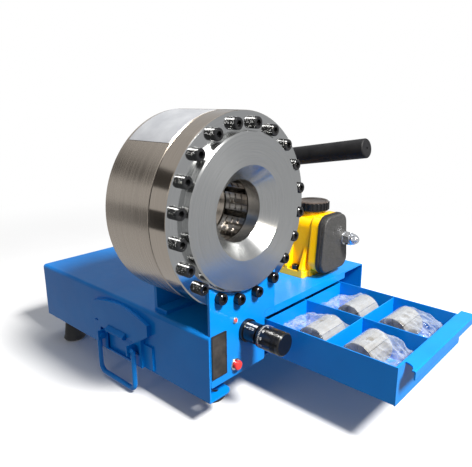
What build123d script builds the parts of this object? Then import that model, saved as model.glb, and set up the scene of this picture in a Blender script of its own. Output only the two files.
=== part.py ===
"""Hand-pumped hose crimping machine on a sheet metal base with a die drawer.

Frame: millimetres, +Z up, the working face looks along -Y. The origin is the centre of
the four bench holes, on the underside of the base's ears.
"""
from build123d import *
import os
from math import atan2, cos, degrees, radians, sin, tan

# ---------------------------------------------------------------- driving sizes
# base
base_w = 410.0          # across the two side walls
base_d = 460.0          # front face to rear wall
base_h = 101.0          # underside of the ears to the top of the deck
sheet_t = 2.5
bend_r = 6.0            # outside radius of the folds
lip_h = 12.0            # folded lip under the front edge of the deck
pan_z = 22.0            # underside of the floor pan, also the front plate's lower edge
ear_l = 40.0
ear_r = 12.0
hole_in_x = 26.0        # bench hole from the side wall
hole_in_y = 17.0        # bench hole from the front or rear face
bench_hole_d = 9.0
# rubber feet
foot_h = 44.0
foot_r = 20.0
foot_top_r = 11.0
foot_front = (62.0, 60.0)   # in from the side, back from the front
foot_rear = (23.0, 55.0)    # in from the side, in from the rear
# front plate and what it carries
plate_t = 4.0
plate_gap_left = 3.0
panel_w = 113.0         # control panel, below the deck
apron_w = 136.0         # part that clamps under the ring
apron_cover = 44.0      # how far the apron reaches up the ring
# head
head_x_in = 75.0        # head axis from the left side wall
ring_clear = 22.0       # deck to the ring
ring_r = 135.0
nose_proud = 12.0       # nose face in front of the ring face
ring_thick = 33.0
body_len = 93.0         # cylinder behind the ring
rear_wall = 12.0
seam = 1.6
mouth_r = 65.0
bore_r = 44.0
mouth_deep = 21.0
chamber_wall = 31.0     # wall round the piston chamber
screw_edge = 15.0       # ring's rim to the screw circle
screw_land = 3.0        # screw heads to the nose
n_screws = 20
screw_phase = 9.0
screw_d = 10.0
head_d = 16.0
head_h = 10.0
socket_af = 8.0
cap_grip = 12.0         # thread in the cylinder
port_turn = -35.0       # pressure port round the cylinder, from +X
port_back = 83.0        # port behind the seam
port_r = 8.0
port_deep = 6.0
# crimping mechanism
n_shoes = 8
shoe_len = 46.0
shoe_open_r = 47.0
shoe_back_a = 63.0      # flat-to-axis at the rear end of an open shoe
wedge = 0.6             # radial travel for each unit of piston travel
stroke = 20.0
slide_gap = 0.2         # between sliding flats
shoe_gap = 0.6          # between closed shoes
slot_w = 9.0
slot_h = 6.0
sleeve_r = 50.45        # guide sleeve outside
sleeve_bore_r = 46.0
run_fit = 0.05          # radial running clearance
# drawer, shown pulled out
drawer_x0 = 119.0       # left wall of the drawer from the left side wall
drawer_w = 211.0
drawer_len = 315.0
drawer_up = 8.0         # floor pan to the drawer
drawer_pass = 3.0       # drawer to the deck's front lip
drawer_open = 210.0
drawer_t = 1.5
front_over = 15.0       # front panel past the drawer's right wall
pull_out = 20.0
pull_drop = 12.0
runner_gap = 0.4
rail_foot = 11.0        # width of the rail's foot on the pan
die_od = 50.0
die_id = 24.0
die_len = 58.0
bag_t = 0.6
# hand pump
pump_x_in = 315.0       # pump axis from the left side wall
pump_y0 = 17.0          # front of the pump's flange from the front face
pump_len = 173.0
pump_w = 70.0
pump_foot_w = 104.0
pump_foot_y = 36.0
pump_foot_t = 12.0
pump_h = 108.0
flange_t = 16.0
gasket_t = 5.0
end_plate_t = 8.0
cap_r = 28.0
cap_h = 17.0
neck_h = 5.7            # filler neck above the pump's back
cap_y = 54.0
fulcrum = (175.0, 46.0)     # from the front face, above the pump's back
plunger_arm = 35.0
plunger_r = 15.0
slot_play = 0.8         # the beam's slot round the plunger pin
slot_run = 9.0
grip_r = 16.0
tube_r = 11.0
grip_end = (-46.0, 75.0)    # free end of the grip: from the front face, above the fulcrum
grip_back = (96.0, 52.0)    # a point on the grip's axis near its inner end
grip_len = 150.0
tube_len = 196.0        # from the grip's free end
# dial
dial_at = (75.5, 16.2)      # from the left side wall, below the deck
dial_flange_r = 17.0
sleeve_dial_r = 11.0
thimble_r0 = 14.5
thimble_r1 = 17.0
dial_len = 70.0
sleeve_len = 50.0
spindle_in = 26.0       # spindle behind the front face
switch_gap = 3.5
button_deep = 22.0
lamp_deep = 12.0
# button, lamp and bare plate
button_at = (50.9, 15.8)    # from the left side wall, above the floor pan
lamp_at = (51.2, -7.3)      # from the left side wall, below the deck
badge_at = (18.7, 33.8)     # the same
badge_size = (29.0, 65.0)
# carrying handles
handle_y = 201.0        # from the front face
lobe_w = 152.0
waist_w = 116.0
arch_down = 3.0         # top of the arch below the deck
case_t = 8.0
case_wall = 2.0
bail_span = 94.0        # between the leg axes
bail_rod_r = 4.0
bail_z = 31.0           # pivot height
bail_off = 15.0         # pivot axis out from the wall
bail_low = -36.0        # axis of the bail's grip

left = -base_w / 2
front = -base_d / 2
head_x = left + head_x_in
head_z = base_h + ring_clear + ring_r
screw_circle_r = ring_r - screw_edge
nose_r = screw_circle_r - head_d / 2 - screw_land
chamber_r = ring_r - chamber_wall
apron_top = base_h + ring_clear + apron_cover
drawer_z0 = pan_z + sheet_t + drawer_up
drawer_h = base_h - lip_h - drawer_pass - drawer_z0
pump_x = left + pump_x_in
pump_top = base_h + pump_h
arch_top = base_h - arch_down


# ---------------------------------------------------------------- helpers
def block(x0, x1, y0, y1, z0, z1):
    """A box from its six faces."""
    return Pos((x0 + x1) / 2, (y0 + y1) / 2, (z0 + z1) / 2) * Box(x1 - x0, y1 - y0, z1 - z0)


def rod_y(x, z, r, y0, y1):
    return Pos(x, (y0 + y1) / 2, z) * Rot(90, 0, 0) * Cylinder(r, y1 - y0)


def rod_x(y, z, r, x0, x1):
    return Pos((x0 + x1) / 2, y, z) * Rot(0, 90, 0) * Cylinder(r, x1 - x0)


def rod_z(x, y, r, z0, z1):
    return Pos(x, y, (z0 + z1) / 2) * Cylinder(r, z1 - z0)


def prism_y(face, y0, y1):
    """A face drawn in X and Z, from y0 to y1."""
    return extrude(Plane.XZ.offset(-y1) * face, amount=y1 - y0)


def prism_x(face, x0, x1):
    """A face drawn in Y and Z, from x0 to x1."""
    return extrude(Plane.YZ.offset(x0) * face, amount=x1 - x0)


def turned(points, x, z):
    """A ring turned about an axis along Y through x, z; points are (radius, y)."""
    face = make_face(Polyline(*points, close=True))
    return Pos(x, 0, z) * revolve(face, axis=Axis.Y)


def turned_z(points, x, y):
    """A piece turned about a vertical axis; points are (radius, z)."""
    face = Plane.XZ * make_face(Polyline(*points, close=True))
    return Pos(x, y, 0) * revolve(face, axis=Axis.Z)


def solids(shape):
    return list(shape.solids())


parts = {}


def keep(name, *shapes):
    """File one node: a single solid, or a group of separate solids."""
    found = [s for shape in shapes for s in solids(shape)]
    parts[name] = found[0] if len(found) == 1 else Compound(children=found)


# ---------------------------------------------------------------- base
def folded_box(inset, radius):
    """The deck with side and rear walls as a block with rounded folds."""
    b = block(left + inset, -left - inset, front - inset, -front - inset, -inset, base_h - inset)
    top = b.edges().group_by(Axis.Z)[-1]
    folds = top.filter_by(Axis.Y) + top.filter_by(Axis.X).sort_by(Axis.Y)[-1:]
    folds += b.edges().filter_by(Axis.Z).group_by(Axis.Y)[-1]
    return fillet(folds, radius)


def ear(sx, sy):
    """A corner ear folded in under a side wall, with its bench hole."""
    x0 = left + sheet_t
    e = block(x0, left + hole_in_x + ear_l / 2, front, front + ear_l, 0, sheet_t)
    e = fillet(e.edges().filter_by(Axis.Z).group_by(Axis.X)[-1], ear_r)
    e -= rod_z(left + hole_in_x, front + hole_in_y, bench_hole_d / 2, -1, sheet_t + 1)
    if sx > 0:
        e = mirror(e, Plane.YZ)
    if sy > 0:
        e = mirror(e, Plane.XZ)
    return e


apron_x0 = left + plate_gap_left
apron_x1 = apron_x0 + apron_w
panel_x1 = apron_x0 + panel_w
drawer_l = left + drawer_x0
drawer_r = drawer_l + drawer_w
lip_end = drawer_r + front_over

shell = folded_box(0, bend_r) - folded_box(sheet_t, bend_r - sheet_t)
shell += block(apron_x1, lip_end, front, front + sheet_t, base_h - lip_h, base_h - sheet_t)
shell -= block(apron_x0 - 0.2, apron_x1 + 0.2, front - 1, front + plate_t, -1, base_h + 1)
for sx in (-1, 1):
    for sy in (-1, 1):
        shell += ear(sx, sy)
keep("base_shell", shell)

pan_top = pan_z + sheet_t
pan = block(left + sheet_t, -left - sheet_t, front + plate_t, -front - sheet_t, pan_z, pan_top)
pan = fillet(pan.edges().filter_by(Axis.Z).group_by(Axis.Y)[-1], bend_r)
keep("floor_pan", pan)


def runner(side):
    """A folded rail: foot on the pan, ledge under the drawer and a guide wall beside it."""
    x = drawer_l if side < 0 else drawer_r
    inner = x + side * runner_gap
    ledge = drawer_z0 - 0.3
    pts = [(inner, ledge), (inner - side * 14, ledge), (inner - side * 14, ledge - 2),
           (inner, ledge - 2), (inner, pan_top), (inner + side * rail_foot, pan_top),
           (inner + side * rail_foot, pan_top + 2), (inner + side * 2, pan_top + 2),
           (inner + side * 2, drawer_z0 + 30), (inner, drawer_z0 + 30)]
    face = make_face(Polyline(*pts, close=True))
    return prism_y(face, front + plate_t + 4, front + drawer_len + 5)


keep("drawer_runners", runner(-1), runner(1))


def foot_places():
    for inset, end in ((foot_front, front), (foot_rear, -front)):
        for sx in (-1, 1):
            back = inset[1] if end < 0 else -inset[1]
            yield sx * (-left - inset[0]), end + back


foot_up = pan_z          # the foot seats on the pan's underside
feet = []
studs = []
for fx, fy in foot_places():
    profile = [(0, -foot_h), (foot_r - 2, -foot_h), (foot_r, -foot_h + 3), (foot_r - 2, -foot_h + 9),
               (foot_top_r + 3, -6), (foot_top_r, 4), (foot_top_r, foot_up), (0, foot_up)]
    f = turned_z(profile, fx, fy) - rod_z(fx, fy, 3.1, -foot_h - 1, foot_up + 1)
    f -= rod_z(fx, fy, 7.5, -foot_h - 1, -foot_h + 12)
    feet.append(f)
    s = rod_z(fx, fy, 3.0, -foot_h + 12, pan_top + 6) + rod_z(fx, fy, 6.0, -foot_h + 8, -foot_h + 12)
    s += rod_z(fx, fy, 5.5, pan_top, pan_top + 5)
    studs.append(s)
    parts["floor_pan"] = parts["floor_pan"] - rod_z(fx, fy, 3.3, pan_z - 1, pan_top + 1)
keep("floor_pan", parts["floor_pan"])
# the corner ears are cut out round the feet that pass through them
for fx, fy in foot_places():
    parts["base_shell"] = parts["base_shell"] - rod_z(fx, fy, foot_top_r + 4, -1, sheet_t + 0.5)
keep("base_shell", parts["base_shell"])
keep("rubber_feet", *feet)
keep("foot_screws", *studs)

# ---------------------------------------------------------------- front plate
ring_face = front + plate_t
seam_y = ring_face + ring_thick
body_end = seam_y + body_len


def screw_places():
    for i in range(n_screws):
        a = radians(screw_phase + 360.0 * i / n_screws)
        yield head_x + screw_circle_r * cos(a), head_z + screw_circle_r * sin(a)


def under_apron(x, z):
    return apron_x0 < x < apron_x1 and z < apron_top


plate = block(apron_x0, panel_x1, front, front + plate_t, pan_z, base_h)
plate += block(apron_x0, apron_x1, front, front + plate_t, base_h, apron_top)
plate = fillet(plate.edges().filter_by(Axis.Y).group_by(Axis.Z)[0], 3)
plate -= rod_y(head_x, head_z, nose_r + 2, front - 1, front + plate_t + 1)
for x, z in screw_places():
    if under_apron(x, z):
        plate -= rod_y(x, z, screw_d / 2 + 0.5, front - 1, front + plate_t + 1)
button_z = pan_top + button_at[1]
for x, z, r in ((dial_at[0], base_h - dial_at[1], 5.0), (button_at[0], button_z, 6.6),
                (lamp_at[0], base_h - lamp_at[1], 3.1)):
    plate -= rod_y(left + x, z, r, front - 1, front + plate_t + 1)
keep("front_plate", plate)

bx, bz = left + badge_at[0], base_h - badge_at[1]
badge = block(bx - badge_size[0] / 2, bx + badge_size[0] / 2, front - 1.2, front,
              bz - badge_size[1] / 2, bz + badge_size[1] / 2)
keep("blank_badge", fillet(badge.edges().filter_by(Axis.Y), 2))

# ---------------------------------------------------------------- head
nose_face = ring_face - nose_proud
throat = nose_face + mouth_deep
cover = turned([(bore_r, throat), (mouth_r, nose_face), (nose_r - 2, nose_face), (nose_r, nose_face + 2), (nose_r, ring_face),
                (ring_r - 1.5, ring_face), (ring_r, ring_face + 1.5), (ring_r, seam_y - seam),
                (ring_r - 2, seam_y - seam), (ring_r - 2, seam_y), (bore_r, seam_y)], head_x, head_z)
for x, z in screw_places():
    cover -= rod_y(x, z, screw_d / 2 + 0.4, ring_face - 1, seam_y + 1)
keep("front_cover", cover)

pocket_end = body_end - rear_wall
sleeve_front = seam_y + shoe_len + 3.0
body = turned([(chamber_r, seam_y), (ring_r - 2, seam_y), (ring_r, seam_y + 1.0), (ring_r, body_end - 3),
               (ring_r - 3, body_end), (sleeve_bore_r, body_end), (sleeve_bore_r, sleeve_front),
               (sleeve_r, sleeve_front), (sleeve_r, pocket_end), (chamber_r, pocket_end)],
              head_x, head_z)
for x, z in screw_places():
    body -= rod_y(x, z, screw_d / 2 + 0.05, seam_y - 1, seam_y + cap_grip + 3)
port_a = radians(port_turn)
port_y = seam_y + port_back
port = Pos(head_x, port_y, head_z) * Rot(0, -degrees(port_a), 0) * Pos(ring_r, 0, 0) * Rot(0, 90, 0)
body -= port * Cylinder(port_r + 0.05, 2 * port_deep)
body -= port * Cylinder(2.5, 2 * (ring_r - chamber_r) + 4)
keep("cylinder_body", body)


def cap_screw(x, z, seat, tip):
    """Socket cap screw along +Y, head in front of its seat."""
    s = rod_y(x, z, screw_d / 2, seat, tip)
    h = rod_y(x, z, head_d / 2, seat - head_h, seat)
    h = chamfer(h.edges().group_by(Axis.Y)[0], 0.8)
    hexagon = Pos(x, z) * RegularPolygon(socket_af / 2, 6, major_radius=False)
    return s + h - prism_y(hexagon, seat - head_h - 1, seat - head_h / 2)


ring_screws = []
for x, z in screw_places():
    seat = front if under_apron(x, z) else ring_face
    ring_screws.append(cap_screw(x, z, seat, seam_y + cap_grip))
keep("cover_screws", *ring_screws)

# rear saddle: a folded bracket that carries the cylinder on the deck
saddle_y1 = body_end - 4
saddle_t = 6.0
saddle_w = 130.0
saddle = block(head_x - saddle_w / 2, head_x + saddle_w / 2, saddle_y1 - saddle_t, saddle_y1,
               base_h, head_z - ring_r + 22)
saddle += block(head_x - saddle_w / 2, head_x + saddle_w / 2, saddle_y1 - saddle_t - 22, saddle_y1,
                base_h, base_h + saddle_t)
saddle -= rod_y(head_x, head_z, ring_r + 0.05, saddle_y1 - 60, saddle_y1 + 1)
keep("rear_saddle", saddle)

# ---------------------------------------------------------------- piston and die shoes
shoe_y0 = seam_y + slide_gap
shoe_y1 = shoe_y0 + shoe_len
shoe_travel = stroke * wedge
shoe_front_a = shoe_back_a + wedge * shoe_len      # flat-to-axis at the shoe's front, open
half_step = radians(180.0 / n_shoes)


def flat_a(y):
    """Distance from the axis to the open shoes' outer flats at a station."""
    return shoe_front_a - wedge * (y - shoe_y0)


piston_y1 = pocket_end - 1.0
piston_y0 = seam_y + stroke + 2.0
cone_end_a = sleeve_r + run_fit + 0.6
cone_end = shoe_y0 + (shoe_front_a + slide_gap - cone_end_a) / wedge
piston = rod_y(head_x, head_z, chamber_r - run_fit, piston_y0, piston_y1)
piston -= rod_y(head_x, head_z, sleeve_r + run_fit, piston_y0 - 1, piston_y1 + 1)


def octagon(a, y):
    face = Rot(0, 0, 180.0 / n_shoes) * RegularPolygon(a, n_shoes, major_radius=False)
    return Plane.XZ.offset(-y) * Pos(head_x, head_z) * face


cone_front = piston_y0 - 2
seat_a = flat_a(cone_front) + slide_gap / cos(atan2(wedge, 1))
cone_cut = loft([octagon(seat_a, cone_front), octagon(seat_a - wedge * (cone_end - cone_front), cone_end)])
piston -= cone_cut
seal_w = 4.0
seal_deep = 3.0
seal_at = (piston_y0 + 12, piston_y1 - 5)
for gy in seal_at:
    ga, gb = gy - seal_w / 2, gy + seal_w / 2
    ring_cut = turned([(chamber_r - seal_deep, ga), (chamber_r + 1, ga), (chamber_r + 1, gb),
                       (chamber_r - seal_deep, gb)], head_x, head_z)
    piston -= ring_cut
keep("cone_piston", piston)
seals = []
for gy in seal_at:
    s0, s1 = chamber_r - seal_deep + 0.05, chamber_r - run_fit
    ga, gb = gy - seal_w / 2 + 0.1, gy + seal_w / 2 - 0.1
    seals.append(turned([(s0, ga), (s1, ga), (s1, gb), (s0, gb)], head_x, head_z))
keep("piston_seals", *seals)


def die_shoe(k):
    """One wedge-backed shoe, modelled closed about +X, moved open and turned to its place."""
    closed_r = shoe_open_r - shoe_travel
    a0 = flat_a(shoe_y0) - shoe_travel
    a1 = flat_a(shoe_y1) - shoe_travel
    edge = tan(half_step)
    cut = shoe_gap / 2 / cos(half_step)
    reach = a0 + 10
    inner = closed_r - 6
    wedge_face = make_face(Polyline((inner, -(inner * edge - cut)), (reach, -(reach * edge - cut)),
                                    (reach, reach * edge - cut), (inner, inner * edge - cut), close=True))
    shoe = prism_y(wedge_face, shoe_y0, shoe_y1)
    side = make_face(Polyline((0, shoe_y0), (a0, shoe_y0), (a1, shoe_y1), (0, shoe_y1), close=True))
    shoe &= Pos(0, 0, -100) * extrude(side, amount=200)
    shoe -= rod_y(0, 0, closed_r, shoe_y0 - 1, shoe_y1 + 1)
    slot_x = closed_r - 1
    tee = block(slot_x, slot_x + slot_h, shoe_y0 - 1, shoe_y1 - 8, -slot_w / 2, slot_w / 2)
    shoe -= tee
    for gy in (shoe_y0 + 12, shoe_y0 + 24, shoe_y0 + 36):
        shoe -= block(closed_r - 2, closed_r + 1.2, gy, gy + 3, -30, 30)
    a = 360.0 * k / n_shoes
    return Pos(head_x, 0, head_z) * Rot(0, -a, 0) * Pos(shoe_travel, 0, 0) * shoe


for k in range(n_shoes):
    keep(f"die_shoe_{k + 1}", die_shoe(k))

# ---------------------------------------------------------------- drawer, pulled out
dr_front = front - drawer_open
dr_rear = dr_front + drawer_len
dz1 = drawer_z0 + drawer_h
tray = block(drawer_l, drawer_r, dr_front, dr_rear, drawer_z0, dz1)
tray -= block(drawer_l + drawer_t, drawer_r - drawer_t, dr_front + drawer_t, dr_rear - drawer_t,
              drawer_z0 + drawer_t, dz1 + 1)
keep("drawer_tray", tray)

row = (drawer_len - 2 * drawer_t) / 3
mid_x = (drawer_l + drawer_r) / 2
floor_z = drawer_z0 + drawer_t
div_top = dz1 - 2
divider = block(mid_x - drawer_t / 2, mid_x + drawer_t / 2, dr_front + drawer_t, dr_rear - drawer_t,
                floor_z, div_top)
for i in (1, 2):
    y = dr_front + drawer_t + row * i
    divider += block(drawer_l + drawer_t, drawer_r - drawer_t, y - drawer_t / 2, y + drawer_t / 2,
                     floor_z, div_top)
keep("drawer_dividers", divider)

fp_t = 2.0
scoop_r = 15.0
face_x0 = drawer_l + 6
face_x1 = drawer_r + front_over
fascia = block(drawer_l, face_x1, dr_front - fp_t, dr_front, drawer_z0 - 1, dz1)
lip_y = dr_front - fp_t - pull_out
lip = block(face_x0, face_x1, lip_y, dr_front - fp_t, dz1 - fp_t, dz1)
lip += block(face_x0, face_x1, lip_y, lip_y + fp_t, dz1 - pull_drop, dz1)
fold_edge = lip.edges().filter_by(Axis.X).group_by(Axis.Z)[-1].sort_by(Axis.Y)[0:1]
lip = fillet(fold_edge, 1.9)
lip -= rod_z(face_x0, dr_front - fp_t, scoop_r, dz1 - pull_drop - 1, dz1 + 1)
keep("drawer_front", fascia + lip)


def die_places():
    """Centres of the six die sets: three rows from the front, two columns."""
    for i in range(3):
        for sx in (-1, 1):
            cell = drawer_w / 4
            shift = 0.14 * row * (1 if (i + sx) % 2 else -1)
            yield mid_x + sx * cell, dr_front + drawer_t + row * (i + 0.5) + shift


def die_set(x, y, z):
    """Eight crimping dies stood together as a ring, axis along X."""
    out = []
    for k in range(8):
        a = 45.0 * k + 22.5
        h = radians(22.5)
        r0, r1, g = die_id / 2, die_od / 2, 0.35
        face = make_face(Polyline((r0 * cos(h), -(r0 * sin(h) - g)), (r1 * cos(h), -(r1 * sin(h) - g)),
                                  (r1, 0), (r1 * cos(h), r1 * sin(h) - g), (r0 * cos(h), r0 * sin(h) - g),
                                  close=True))
        seg = extrude(Plane.YZ * Rot(0, 0, a) * face, amount=die_len / 2, both=True)
        out.append(Pos(x, y, z) * seg)
    return out


bag_in = 0.4
rest_gap = 0.3
bagged_z = floor_z + rest_gap + bag_t + bag_in + die_od / 2
bare_z = floor_z + rest_gap + die_od / 2
bags = []
for n, (x, y) in enumerate(die_places()):
    die_z = bagged_z if n < 4 else bare_z
    keep(f"die_set_{n + 1}", *die_set(x, y, die_z))
    if n < 4:
        hx = die_len / 2 + 6
        r_in = die_od / 2 + bag_in
        outer = rod_x(y, die_z, r_in + bag_t, x - hx, x + hx)
        bags.append(outer - rod_x(y, die_z, r_in, x - hx + bag_t, x + hx - bag_t))
keep("die_bags", *bags)

# ---------------------------------------------------------------- carrying handles
yh = front + handle_y


def handle_case():
    """Pressed handle case on the left wall: arched cover, back strip and two lanced ears."""
    def outline(d):
        lo, wa = lobe_w / 2 - d, waist_w / 2 - d
        lobe_z = arch_top - 18
        line = Polyline((yh + lo, lobe_z), (yh + lo, lobe_z - 18 + d), (yh + wa, lobe_z - 30 + d / 2),
                        (yh + wa, 3 + d), (yh - wa, 3 + d), (yh - wa, lobe_z - 30 + d / 2),
                        (yh - lo, lobe_z - 18 + d), (yh - lo, lobe_z))
        arch = ThreePointArc((yh - lo, lobe_z), (yh, arch_top - 5 - d), (yh + lo, lobe_z))
        return make_face([*line.edges(), arch.edge()])
    c = prism_x(outline(0), left - case_t, left)
    c -= prism_x(outline(case_wall), left - case_t + case_wall, left + 1)
    strip_w = lobe_w / 2 + 3
    c += block(left - 3, left, yh - strip_w, yh + strip_w, 3, 43)
    pocket_w = bail_span / 2 - 12
    c -= block(left - case_t - 1, left - 3, yh - pocket_w, yh + pocket_w, 6, 44)
    ramp = make_face(Polyline((left - case_t, 44), (left - case_t, 50), (left - 3, 36), (left - 3, 30),
                              close=True))
    c += prism_y(ramp, yh - pocket_w, yh + pocket_w)
    for s in (-1, 1):
        leg = yh + s * bail_span / 2
        c -= block(left - case_t - 1, left - 3, leg - 6, leg + 6, bail_z - 8, bail_z + 8)
        a, b = sorted((leg - s * 6, leg - s * 8.5))
        c += block(left - bail_off - 7, left - 3, a, b, bail_z - 8, bail_z + 8)
    c -= rod_y(left - bail_off, bail_z, bail_rod_r + run_fit, yh - bail_span, yh + bail_span)
    return c


def bail():
    """Bent rod handle: two legs, a grip between them and inturned ends."""
    x = left - bail_off
    h = bail_span / 2
    end = h - 12
    path = FilletPolyline((x, yh - end, bail_z), (x, yh - h, bail_z), (x, yh - h, bail_low),
                          (x, yh + h, bail_low), (x, yh + h, bail_z), (x, yh + end, bail_z),
                          radius=[5, 12, 12, 5])
    start = Plane(origin=path @ 0, z_dir=path % 0)
    return sweep(start * Circle(bail_rod_r), path=path)


case_left = handle_case()
keep("handle_case_left", case_left)
keep("handle_case_right", mirror(case_left, Plane.YZ))
bail_left = bail()
keep("handle_bail_left", bail_left)
keep("handle_bail_right", mirror(bail_left, Plane.YZ))

# ---------------------------------------------------------------- dial
dx, dz = left + dial_at[0], base_h - dial_at[1]
flange = rod_y(dx, dz, dial_flange_r, front - 5, front)
flange += rod_y(dx, dz, sleeve_dial_r, front - sleeve_len, front - 5)
flange += rod_y(dx, dz, 4.9, front, front + plate_t + 8)
flange -= rod_y(dx, dz, 3.0 + run_fit, front - sleeve_len - 1, front + plate_t + 9)
keep("dial_sleeve", flange)
nut = rod_y(dx, dz, 9.0, front + plate_t, front + plate_t + 5) - rod_y(dx, dz, 4.95, front, front + 20)
keep("dial_nut", nut)
r_in = sleeve_dial_r + run_fit
y_a, y_b = front - dial_len, front - 28
y_in = front - sleeve_len - 2
thimble = turned([(0, y_a), (thimble_r1 - 1.5, y_a), (thimble_r1, y_a + 1.5), (thimble_r1, y_a + 24),
                  (thimble_r0, y_a + 28), (thimble_r0, y_b - 5), (sleeve_dial_r + 1.5, y_b),
                  (r_in, y_b), (r_in, y_in), (0, y_in)], dx, dz)
for i in range(20):
    rib = Pos(dx, y_a + 12, dz) * Rot(0, 18.0 * i, 0) * Pos(thimble_r1 + 0.4, 0, 0)
    thimble -= rib * Box(2.0, 16, 1.6)
keep("dial_thimble", thimble)
spindle = rod_y(dx, dz, 3.0, front - sleeve_len + 2, front + spindle_in)
keep("dial_spindle", spindle)

sw_y = front + spindle_in + switch_gap
switch = block(dx - 5, dx + 5, sw_y + 2, sw_y + 14, dz - 12, dz + 12)
switch += rod_y(dx, dz, 2.0, sw_y, sw_y + 2)
keep("size_switch", switch)
arm = block(dx - 9, dx - 5, front + plate_t, sw_y + 14, dz - 8, dz + 8)
arm += block(dx - 24, dx - 5, front + plate_t, front + plate_t + 2, dz - 8, dz + 8)
arm -= rod_y(dx, dz, 9.5, front, front + plate_t + 6)
keep("switch_bracket", arm)

# ---------------------------------------------------------------- button and lamp
ux, uz = left + button_at[0], button_z
bezel = rod_y(ux, uz, 9.0, front - 2, front) + rod_y(ux, uz, 6.5, front, front + button_deep)
bezel = chamfer(bezel.edges().group_by(Axis.Y)[0], 0.8)
bezel -= rod_y(ux, uz, 5.15, front - 3, front + 14)
cap = rod_y(ux, uz, 5.1, front - 6, front + 8)
keep("push_button", fillet(cap.edges().group_by(Axis.Y)[0], 1.2))
lx, lz = left + lamp_at[0], base_h - lamp_at[1]
lamp_ring = rod_y(lx, lz, 4.5, front - 1.5, front) + rod_y(lx, lz, 3.0, front, front + lamp_deep)
lamp_ring -= rod_y(lx, lz, 2.5, front - 2, front + 6)
keep("panel_bezels", bezel, lamp_ring)
lens = rod_y(lx, lz, 2.45, front - 3, front + 6)
keep("lamp_lens", fillet(lens.edges().group_by(Axis.Y)[0], 1.2))

# ---------------------------------------------------------------- hand pump
py0 = front + pump_y0
py1 = py0 + pump_len
foot_y0 = front + pump_foot_y
half = pump_w / 2


def end_outline(grow=0.0):
    """The flange outline: a rounded trapezium, wide at the bottom."""
    lo, hi = base_h + 9 - grow, pump_top + 4 + grow
    wl, wh = 45 + grow, 35 + grow
    face = make_face(Polyline((pump_x - wl, lo), (pump_x + wl, lo), (pump_x + wh, hi), (pump_x - wh, hi),
                              close=True))
    return fillet(face.vertices(), 20 + grow)


pump = block(pump_x - half, pump_x + half, py0 + flange_t, py1, base_h, pump_top)
pump = fillet(pump.edges().filter_by(Axis.Y).group_by(Axis.Z)[-1], 20)
pump += prism_y(end_outline(-1), py0, py0 + flange_t)
sole = block(pump_x - pump_foot_w / 2, pump_x + pump_foot_w / 2, foot_y0, py1, base_h,
             base_h + pump_foot_t)
sole = fillet(sole.edges().filter_by(Axis.Z), 5)
pump += sole
bolt_rows = (foot_y0 + 22, py1 - 24)
rib_gap = 12.0
rib_t = 7.0
for yb in bolt_rows:
    for s in (-1, 1):
        for e in (-1, 1):
            y0, y1 = sorted((yb + e * rib_gap, yb + e * (rib_gap + rib_t)))
            web = make_face(Polyline((pump_x + s * (half - 2), base_h), (pump_x + s * pump_foot_w / 2, base_h),
                                     (pump_x + s * pump_foot_w / 2, base_h + pump_foot_t + 4),
                                     (pump_x + s * (half - 2), base_h + 58), close=True))
            pump += prism_y(web, y0, y1)
        pump -= rod_z(pump_x + s * (half + 9), yb, 4.3, base_h - 1, base_h + pump_foot_t + 1)
neck_r = cap_r - 6
pump += rod_z(pump_x, front + cap_y, neck_r, pump_top - 4, pump_top + neck_h)
pump -= rod_z(pump_x, front + cap_y, 15.1, pump_top - 14, pump_top + neck_h + 1)
fy, fz = front + fulcrum[0], pump_top + fulcrum[1]
pl_y = fy - plunger_arm
pump += rod_z(pump_x, pl_y, plunger_r + 9, pump_top - 4, pump_top + 16)
pump -= rod_z(pump_x, pl_y, plunger_r + run_fit, pump_top - 62, pump_top + 17)
lug_gap = 9.0
lug_t = 9.0
for s in (-1, 1):
    x0, x1 = sorted((pump_x + s * lug_gap, pump_x + s * (lug_gap + lug_t)))
    lug = block(x0, x1, fy - 12, py1, pump_top - 6, fz)
    lug += rod_x(fy, fz, 12, x0, x1)
    lug -= rod_x(fy, fz, 6.0 + run_fit, x0 - 1, x1 + 1)
    pump += lug
valve_y, valve_z = front + 95.0, base_h + 45.0
pump -= rod_x(valve_y, valve_z, 5.05, pump_x + half - 20, pump_x + half + 1)
out_z = base_h + 34.0
pump -= rod_x(port_y, out_z, 5.05, pump_x - half - 1, pump_x - half + 10)
stud_x, stud_z = pump_x + 27, base_h + 65
pump -= rod_y(stud_x, stud_z, 5.05, py0 - 1, py0 + 14)
keep("pump_body", pump)

g0 = py0 - gasket_t
keep("pump_gasket", prism_y(end_outline(0), g0, py0) - rod_y(stud_x, stud_z, 5.2, g0 - 1, py0 + 1))
e0 = g0 - end_plate_t
end_plate = prism_y(end_outline(-2), e0, g0)
end_plate = fillet(end_plate.edges().group_by(Axis.Y)[0], 2.5)
end_plate -= rod_y(stud_x, stud_z, 5.2, e0 - 1, g0 + 1)
keep("pump_end_plate", end_plate)
stud = rod_y(stud_x, stud_z, 5.0, e0 - 14, py0 + 12)
washer = rod_y(stud_x, stud_z, 12, e0 - 3, e0) - rod_y(stud_x, stud_z, 5.05, e0 - 4, e0 + 1)
keep("end_stud", stud, washer)
nut_hex = prism_y(Pos(stud_x, stud_z) * RegularPolygon(9, 6, major_radius=False), e0 - 16, e0 - 3)
dome = Pos(stud_x, e0 - 16, stud_z) * Sphere(8.4)
acorn = nut_hex + dome - rod_y(stud_x, stud_z, 5.05, e0 - 15, e0 - 2)
keep("acorn_nut", acorn)

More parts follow.
